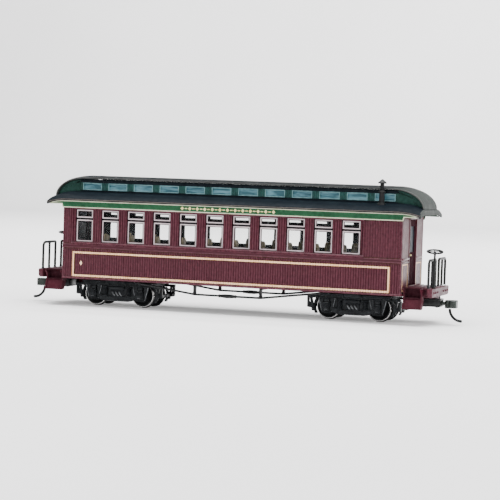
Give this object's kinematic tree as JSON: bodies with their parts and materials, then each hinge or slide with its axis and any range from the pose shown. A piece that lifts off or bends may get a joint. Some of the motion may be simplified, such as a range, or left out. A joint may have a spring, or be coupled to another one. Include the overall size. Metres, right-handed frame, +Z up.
{
  "type": "model passenger coach",
  "caption": "Open-platform clerestory passenger coach model for 16.5 mm gauge track, with swivelling four-wheel trucks, swinging knuckle couplers and see-through windows.",
  "frame": {"origin": "on the ground plane touched by the wheel flanges, under the middle of the coach", "axes": "+X along the coach towards the end that has the chimney, +Y across to the left side, +Z up"},
  "size_m": [0.2598, 0.0538, 0.0794],
  "materials": {
    "body": "satin maroon, moulded boarding",
    "green": "satin green with pale lining",
    "roof": "satin blue-black",
    "cap": "satin dark grey",
    "clerestory": "satin dark green",
    "tinted_glass": "tinted translucent",
    "clear_glass": "clear",
    "seat": "moulded olive tan",
    "underframe": "matt black",
    "truck": "satin black, moulded detail",
    "black_metal": "satin black",
    "coupler": "blackened",
    "steel": "turned",
    "wheel": "turned, plated rim"
  },
  "bodies": {
    "coach_body": {"roof_deck": "roof", "roof_cap": "cap", "smokejack": "black_metal", "underframe": "underframe", "ballast_weight": "steel", "side_wall_left": "body", "window_glazing_left": "clear_glass", "letterboard_left": "green", "clerestory_side_left": "clerestory", "clerestory_glazing_left": "tinted_glass", "seat_row_left": "seat", "truss_rod_left": "black_metal", "side_wall_right": "body", "window_glazing_right": "clear_glass", "letterboard_right": "green", "clerestory_side_right": "clerestory", "clerestory_glazing_right": "tinted_glass", "seat_row_right": "seat", "truss_rod_right": "black_metal", "end_wall_front": "body", "end_door_front": "body", "end_platform_front": "body", "queen_post_beam_front": "black_metal", "coupler_box_front": "black_metal", "steps_front_left": "body", "railing_front_left": "black_metal", "steps_front_right": "body", "railing_front_right": "black_metal", "end_wall_rear": "body", "end_door_rear": "body", "end_platform_rear": "body", "queen_post_beam_rear": "black_metal", "coupler_box_rear": "black_metal", "steps_rear_left": "body", "railing_rear_left": "black_metal", "steps_rear_right": "body", "railing_rear_right": "black_metal"},
    "truck_front": {"truck_frame_front": "truck"},
    "truck_rear": {"truck_frame_rear": "truck"},
    "wheelset_1": {"axle_1": "steel", "wheel_1_left": "wheel", "wheel_1_right": "wheel"},
    "wheelset_2": {"axle_2": "steel", "wheel_2_left": "wheel", "wheel_2_right": "wheel"},
    "wheelset_3": {"axle_3": "steel", "wheel_3_left": "wheel", "wheel_3_right": "wheel"},
    "wheelset_4": {"axle_4": "steel", "wheel_4_left": "wheel", "wheel_4_right": "wheel"},
    "coupler_front": {"coupler_body_front": "coupler", "trip_pin_front": "black_metal"},
    "knuckle_front": {"knuckle_front": "coupler"},
    "brake_front": {"brake_wheel_front": "black_metal"},
    "coupler_rear": {"coupler_body_rear": "coupler", "trip_pin_rear": "black_metal"},
    "knuckle_rear": {"knuckle_rear": "coupler"},
    "brake_rear": {"brake_wheel_rear": "black_metal"}
  },
  "joints": [
    {"name": "truck_front_swivel", "type": "hinge", "parent": "coach_body", "child": "truck_front", "pos_m": [0.0705, 0, 0.0131], "axis": [0, 0, 1], "range_deg": [-12, 12]},
    {"name": "truck_rear_swivel", "type": "hinge", "parent": "coach_body", "child": "truck_rear", "pos_m": [-0.0705, 0, 0.0131], "axis": [0, 0, 1], "range_deg": [-12, 12]},
    {"name": "wheelset_1_spin", "type": "hinge", "parent": "truck_front", "child": "wheelset_1", "pos_m": [0.08505, 0, 0.0074], "axis": [0, 1, 0], "continuous": true},
    {"name": "wheelset_2_spin", "type": "hinge", "parent": "truck_front", "child": "wheelset_2", "pos_m": [0.05595, 0, 0.0074], "axis": [0, 1, 0], "continuous": true},
    {"name": "wheelset_3_spin", "type": "hinge", "parent": "truck_rear", "child": "wheelset_3", "pos_m": [-0.08505, 0, 0.0074], "axis": [0, 1, 0], "continuous": true},
    {"name": "wheelset_4_spin", "type": "hinge", "parent": "truck_rear", "child": "wheelset_4", "pos_m": [-0.05595, 0, 0.0074], "axis": [0, 1, 0], "continuous": true},
    {"name": "coupler_front_swing", "type": "hinge", "parent": "coach_body", "child": "coupler_front", "pos_m": [0.1085, 0, 0.0119], "axis": [0, 0, 1], "range_deg": [-12, 12], "stiffness_Nm_per_rad": 0.002},
    {"name": "knuckle_front_hinge", "type": "hinge", "parent": "coupler_front", "child": "knuckle_front", "pos_m": [0.124, -0.0023, 0.0119], "axis": [0, 0, 1], "range_deg": [-22, 0], "stiffness_Nm_per_rad": 0.0005},
    {"name": "brake_wheel_front_turn", "type": "hinge", "parent": "coach_body", "child": "brake_front", "pos_m": [0.1162, -0.0142, 0.021], "axis": [0, 0, 1], "continuous": true},
    {"name": "coupler_rear_swing", "type": "hinge", "parent": "coach_body", "child": "coupler_rear", "pos_m": [-0.1085, 0, 0.0119], "axis": [0, 0, 1], "range_deg": [-12, 12], "stiffness_Nm_per_rad": 0.002},
    {"name": "knuckle_rear_hinge", "type": "hinge", "parent": "coupler_rear", "child": "knuckle_rear", "pos_m": [-0.124, 0.0023, 0.0119], "axis": [0, 0, 1], "range_deg": [-22, 0], "stiffness_Nm_per_rad": 0.0005},
    {"name": "brake_wheel_rear_turn", "type": "hinge", "parent": "coach_body", "child": "brake_rear", "pos_m": [-0.1162, 0.0142, 0.021], "axis": [0, 0, 1], "continuous": true}
  ]
}
